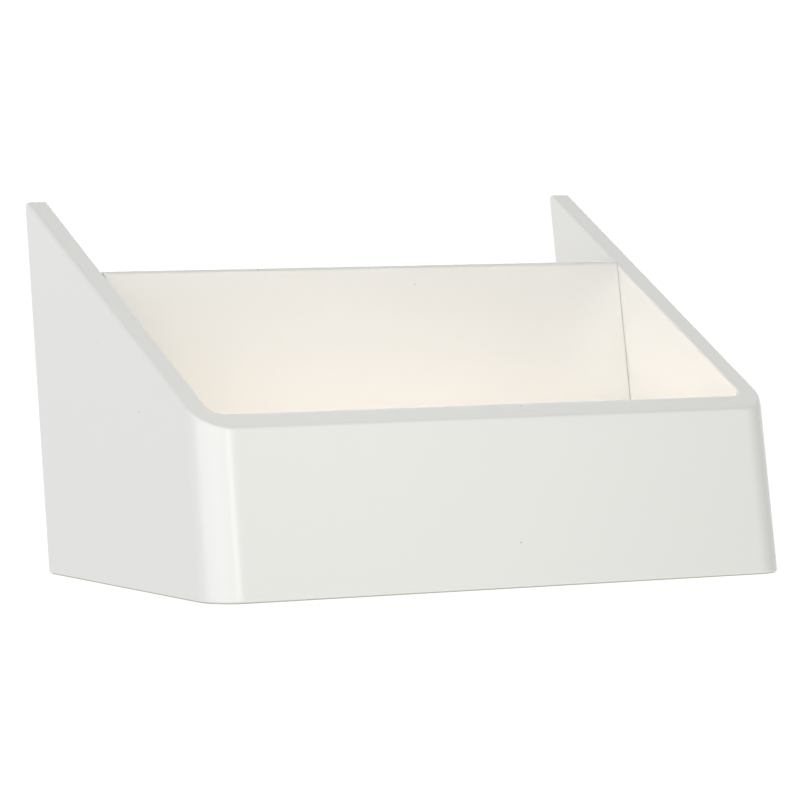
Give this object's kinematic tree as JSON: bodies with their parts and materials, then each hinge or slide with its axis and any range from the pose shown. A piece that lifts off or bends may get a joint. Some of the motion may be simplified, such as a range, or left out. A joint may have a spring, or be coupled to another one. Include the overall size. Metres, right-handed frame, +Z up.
{
  "type": "magazine file holder",
  "caption": "Wide desk-top magazine and file holder: low front, rounded front corners, sides that slope up to tall wings, and a leaning back panel between them.",
  "frame": {"origin": "middle of the whole holder's footprint, on the surface that it stands on", "axes": "+Z up, the front faces -Y, +X to the right when seen from the front"},
  "size_m": [0.3556, 0.2306, 0.2024],
  "materials": {
    "white_lacquer": "smooth semi-gloss white lacquer over fine fibreboard",
    "honey_ply": "clear-finished pale plywood",
    "beech": "bare beech",
    "zinc_steel": "bright zinc plating",
    "clear_rubber": "translucent grey soft bumper"
  },
  "bodies": {
    "root": {"front_board": "white_lacquer", "left_side_board": "white_lacquer", "right_side_board": "white_lacquer", "left_corner_post": "white_lacquer", "right_corner_post": "white_lacquer", "back_panel": "white_lacquer", "floor_panel": "honey_ply", "front_spline_left": "beech", "front_spline_right": "beech", "side_spline_left": "beech", "side_spline_right": "beech", "panel_dowels": "beech", "floor_screws": "zinc_steel", "front_left_pad": "clear_rubber", "front_right_pad": "clear_rubber", "rear_left_pad": "clear_rubber", "rear_right_pad": "clear_rubber"}
  },
  "joints": []
}
